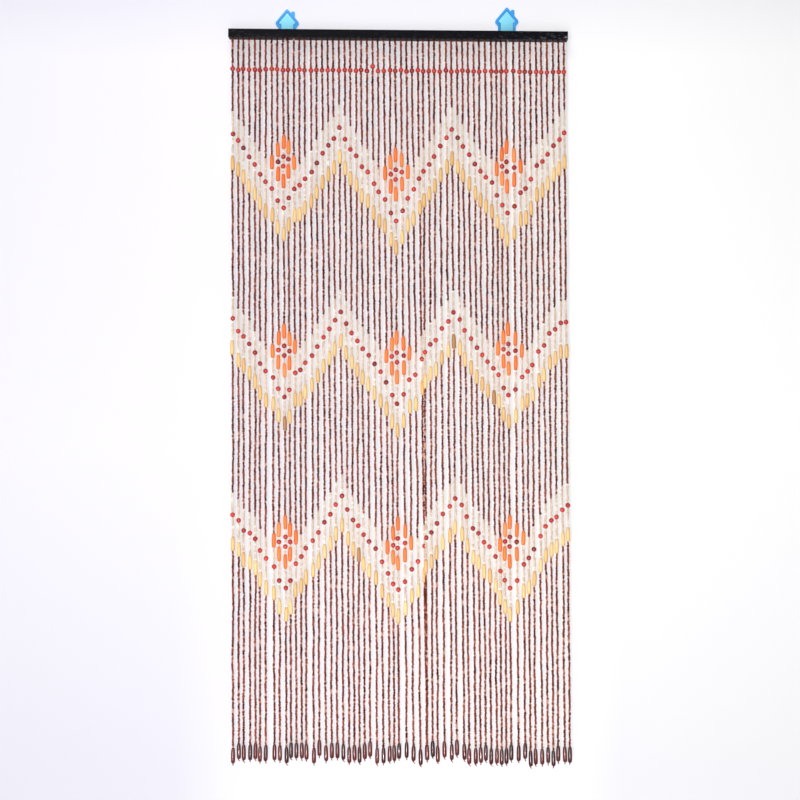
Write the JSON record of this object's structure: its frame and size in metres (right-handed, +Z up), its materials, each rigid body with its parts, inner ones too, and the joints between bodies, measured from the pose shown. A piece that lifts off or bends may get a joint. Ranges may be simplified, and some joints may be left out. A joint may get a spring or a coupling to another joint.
{
  "type": "bead curtain with head rail and wall hooks",
  "caption": "Wooden bead curtain with a zigzag and diamond pattern, its strings hanging from a black head rail on two blue wall hooks.",
  "frame": {"origin": "on the wall plane, at the height of the middle of the head rail's top face, midway along the rail", "axes": "+Z up, +X along the rail to the viewer's right, +Y into the wall; the curtain hangs on the -Y side of the wall plane y = 0"},
  "size_m": [0.9126, 0.039, 2.0276],
  "materials": {
    "black_wood": "satin black stain, scuffed along the lower edge",
    "brown_beads": "small lacquered beads in mixed maroon and red-brown",
    "cream_beads": "small pale beads, satin",
    "red_beads": "round red lacquered beads",
    "orange_beads": "long orange lacquered beads",
    "straw_beads": "long natural wood beads, varnished",
    "dark_beads": "long dark brown lacquered end beads",
    "cord": "light twisted cord",
    "blue_plastic": "moulded soft blue plastic",
    "pale_blue_plastic": "moulded pale blue plastic"
  },
  "bodies": {
    "root": {"rail": "black_wood", "strands_left": "brown_beads", "strands_middle": "brown_beads", "strands_right": "brown_beads", "hook_left": "blue_plastic", "hook_right": "blue_plastic", "hook_panel_left": "pale_blue_plastic", "hook_panel_right": "pale_blue_plastic", "tie_left": "cord", "tie_right": "cord"}
  },
  "joints": []
}
